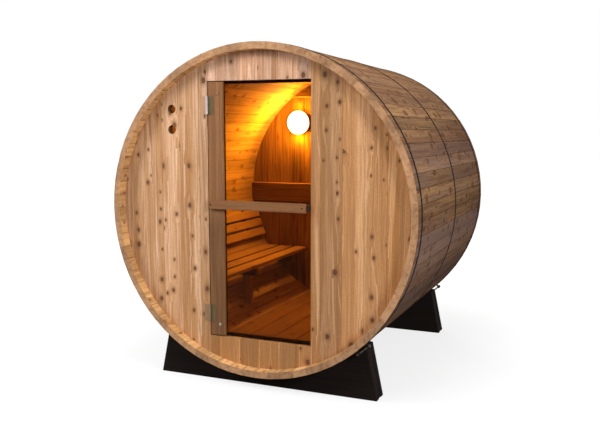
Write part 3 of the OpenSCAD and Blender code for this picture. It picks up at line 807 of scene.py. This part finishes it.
coat(metal("lamp_rim", *lamp_rim_tones, 0.45, shine=0.3), "lamp_base")
opal, tree, shader, here = new_finish("lamp_opal")
glow = soft_step(tree, cloud(tree, here, 20, 1), 0.1, 0.9)
feed(tree, shader.inputs["Base Color"], tint(tree, glow, *opal_tones))
feed(tree, shader.inputs["Emission Color"], tint(tree, glow, *opal_light))
feed(tree, shader.inputs["Emission Strength"], 18)
feed(tree, shader.inputs["Roughness"], calc(tree, "MULTIPLY_ADD", glow, 0.05, 0.25))
coat(opal, "lamp_dome")

# ---- The floor ----
# Loose cedar boards lie along the barrel on three joists, and the outer two are cut to its curve.
# All the edges are eased, since people walk on them barefoot.
floor_board_count = 5
floor_gap = 0.005
floor_edge = 0.003
floor_tones = (0.36, 0.18, 0.068), (0.28, 0.135, 0.048), (0.16, 0.065, 0.022)
joist_tones = (0.20, 0.10, 0.040), (0.16, 0.075, 0.030), (0.10, 0.04, 0.015)

floor_low, floor_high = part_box("floor_boards")
floor_pitch = (floor_high.x - floor_low.x + floor_gap) / floor_board_count
floor_cedar = cedar("floor_cedar", by_board("Y", "X", floor_pitch, floor_low.x - floor_gap / 2),
                    floor_tones, seed=23, knots=0.3)
joist_cedar = cedar("joist_cedar", by_board("X", "Z", 0.5), joist_tones, seed=31, knots=0.3)
eased("floor_boards", "floor_board_set", floor_edge, floor_cedar, "cabin")
eased("floor_joists", "floor_joist_set", floor_edge, joist_cedar, "cabin")

# ---- The bench ----
# Three planed cedar boards on bearers and a leg make the seat, and three slats on curved cleats lean
# against the staves as the backrest. All the edges are rounded, and the boards' sides in the seat's
# gaps are dark with painted shade.
bench_edge = 0.004
bearer_edge = 0.003
cleat_edge = 0.002
seat_pitch, seat_start_x = 0.138, -0.51
slat_pitch, slat_start_z = 0.070, axis_z - 0.373
bench_tones = (0.46, 0.26, 0.10), (0.36, 0.19, 0.07), (0.24, 0.105, 0.033)
seat_gap_shade_tones = (0.085, 0.036, 0.012), (0.060, 0.026, 0.009), (0.04, 0.016, 0.006)

bench_cedar = cedar("bench_cedar", by_board("Y", "X", seat_pitch, seat_start_x), bench_tones, seed=37,
                    knots=0.1, streaks=0.5)
slat_cedar = cedar("slat_cedar", by_board("Y", "Z", slat_pitch, slat_start_z), bench_tones, seed=43,
                   knots=0.1, streaks=0.5)
gap_shade_cedar = cedar("gap_shade_cedar", by_board("Y", "Z", 0.5, 0.3), seat_gap_shade_tones, seed=47)
leg_cedar = cedar("leg_cedar", by_board("Z", "Y", 0.5, -0.5), floor_tones, seed=53)
seat = eased("seat_boards", "seat_board_set", bench_edge, bench_cedar, "cabin")
# Painted shade: the boards' sides facing into the seat's gaps are dark.
seat.data.materials.append(gap_shade_cedar)
last_gap_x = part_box("seat_boards")[1].x - 0.05
finish_faces(seat, 1, lambda middle, way: way.x > 0.5 and middle.x < last_gap_x)
eased("backrest_slats", "backrest_slat_set", bench_edge, slat_cedar, "cabin")
eased("bench_bearers", "bench_bearer_set", bearer_edge, joist_cedar, "cabin")
eased("bench_leg", "bench_leg_eased", bearer_edge, leg_cedar, "cabin")
eased("backrest_cleats", "backrest_cleat_set", cleat_edge, joist_cedar, "cabin")

# ---- The stage ----
# A pale floor that takes the shadow, white surroundings, soft lamps on both sides, in front, above
# and behind, and warm light inside the barrel as the wall lamp gives.
ground_size = 60
ground_grey = (0.24, 0.24, 0.24)
sky_light = 0.26
lamp_yellow = (1.0, 0.66, 0.03)


def seen_straight(tree):
    """1 where something is looked at straight, in a mirror or through glass, and 0 for soft light."""
    rays = tree.nodes.new("ShaderNodeLightPath").outputs
    seen = calc(tree, "MAXIMUM", rays["Is Camera Ray"],
                calc(tree, "MAXIMUM", rays["Is Glossy Ray"], rays["Is Transmission Ray"]))
    return calc(tree, "MULTIPLY", seen, calc(tree, "LESS_THAN", rays["Diffuse Depth"], 0.5))


start_piece()
bpy.ops.mesh.primitive_plane_add(size=ground_size)
ground = bpy.context.object
ground.name = "ground"
ground_finish = bpy.data.materials.new("ground")
ground_finish.use_nodes = True
tree = ground_finish.node_tree
tree.nodes.clear()
matt = tree.nodes.new("ShaderNodeBsdfDiffuse")
feed(tree, matt.inputs["Color"], ground_grey)
x, y, z = split(tree, tree.nodes.new("ShaderNodeTexCoord").outputs["Object"])
reach = calc(tree, "ADD", calc(tree, "MULTIPLY", x, x), calc(tree, "MULTIPLY", y, y))
reach = calc(tree, "SQRT", reach)
level = calc(tree, "MULTIPLY_ADD", soft_step(tree, reach, 1.0, 3.0), 0.22, 0.77)
white = tree.nodes.new("ShaderNodeEmission")
feed(tree, white.inputs["Strength"], calc(tree, "MULTIPLY", seen_straight(tree), level))
total = tree.nodes.new("ShaderNodeAddShader")
tree.links.new(matt.outputs[0], total.inputs[0])
tree.links.new(white.outputs[0], total.inputs[1])
tree.links.new(total.outputs[0], tree.nodes.new("ShaderNodeOutputMaterial").inputs["Surface"])
ground.data.materials.append(ground_finish)

world = bpy.data.worlds.new("studio")
bpy.context.scene.world = world
world.use_nodes = True
tree = world.node_tree
sky = tree.nodes["Background"]
feed(tree, sky.inputs["Color"], (1, 1, 1))
feed(tree, sky.inputs["Strength"],
     calc(tree, "MULTIPLY_ADD", seen_straight(tree), 1 - sky_light, sky_light))


def new_lamp(name, kind, place, power):
    """A lamp of a kind and a power at a place, facing down."""
    light = bpy.data.lights.new(name, kind)
    light.energy = power
    lamp = bpy.data.objects.new(name, light)
    lamp.location = place
    bpy.context.scene.collection.objects.link(lamp)
    return lamp


def soft_lamp(name, place, towards, size, power):
    """A square white lamp that faces a point."""
    lamp = new_lamp(name, "AREA", place, power)
    lamp.data.shape = "SQUARE"
    lamp.data.size = size
    lamp.rotation_euler = (Vector(towards) - Vector(place)).to_track_quat("-Z", "Y").to_euler()


def warm_glow(name, kind, place, radius, power):
    """A soft light inside the barrel, in the colour of the wall lamp. A disc faces the door."""
    lamp = new_lamp(name, kind, place, power)
    lamp.data.color = lamp_yellow
    if kind == "AREA":
        lamp.data.shape = "DISK"
        lamp.data.size = 2 * radius
    else:
        lamp.data.shadow_soft_size = radius
    lamp.rotation_euler = (-math.pi / 2, 0, 0)
    lamp.visible_camera = lamp.visible_glossy = lamp.visible_transmission = False


barrel_middle = (0, 0, axis_z)
front_middle = (0, front_y, axis_z)
soft_lamp("left_lamp", (-4.0, -3.0, 2.8), front_middle, 1.5, 165)
soft_lamp("right_lamp", (4.6, -3.2, 2.8), front_middle, 1.3, 205)
soft_lamp("front_lamp", (-0.2, -3.6, 4.0), front_middle, 1.4, 40)
soft_lamp("top_lamp", (0.6, -0.6, 5.4), barrel_middle, 2.4, 90)
soft_lamp("back_lamp", (-2.4, 4.6, 2.6), barrel_middle, 1.8, 80)

dome_low, dome_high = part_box("lamp_dome")
dome_x, dome_y, dome_z = (dome_low + dome_high) / 2
warm_glow("dome_glow", "AREA", (dome_x, dome_low.y - 0.01, dome_z), 0.085, 23)
warm_glow("side_glow", "POINT", (dome_x, dome_low.y - 0.05, dome_z), 0.045, 14.5)
warm_glow("lower_glow", "POINT", (dome_x, dome_y, dome_low.z - 0.025), 0.02, 4.5)
warm_glow("upper_glow", "POINT", (dome_x, dome_y, dome_high.z + 0.025), 0.02, 1.8)

eye_place = (1.8178, -4.3867, 1.4415)
eye_turn, eye_dip, eye_roll = math.radians(21.852), math.radians(7.070), math.radians(0.214)
camera = bpy.data.cameras.new("camera")
camera.sensor_width = 36
camera.lens = 44.0
camera.shift_x = -0.0401
camera.shift_y = -0.0027
camera.clip_end = 200
eye = bpy.data.objects.new("camera", camera)
eye.matrix_world = (Matrix.Translation(eye_place) @ Matrix.Rotation(eye_turn, 4, "Z")
                    @ Matrix.Rotation(math.pi / 2 - eye_dip, 4, "X") @ Matrix.Rotation(eye_roll, 4, "Z"))
bpy.context.scene.collection.objects.link(eye)
bpy.context.scene.camera = eye
bpy.context.scene.view_settings.view_transform = "Standard"
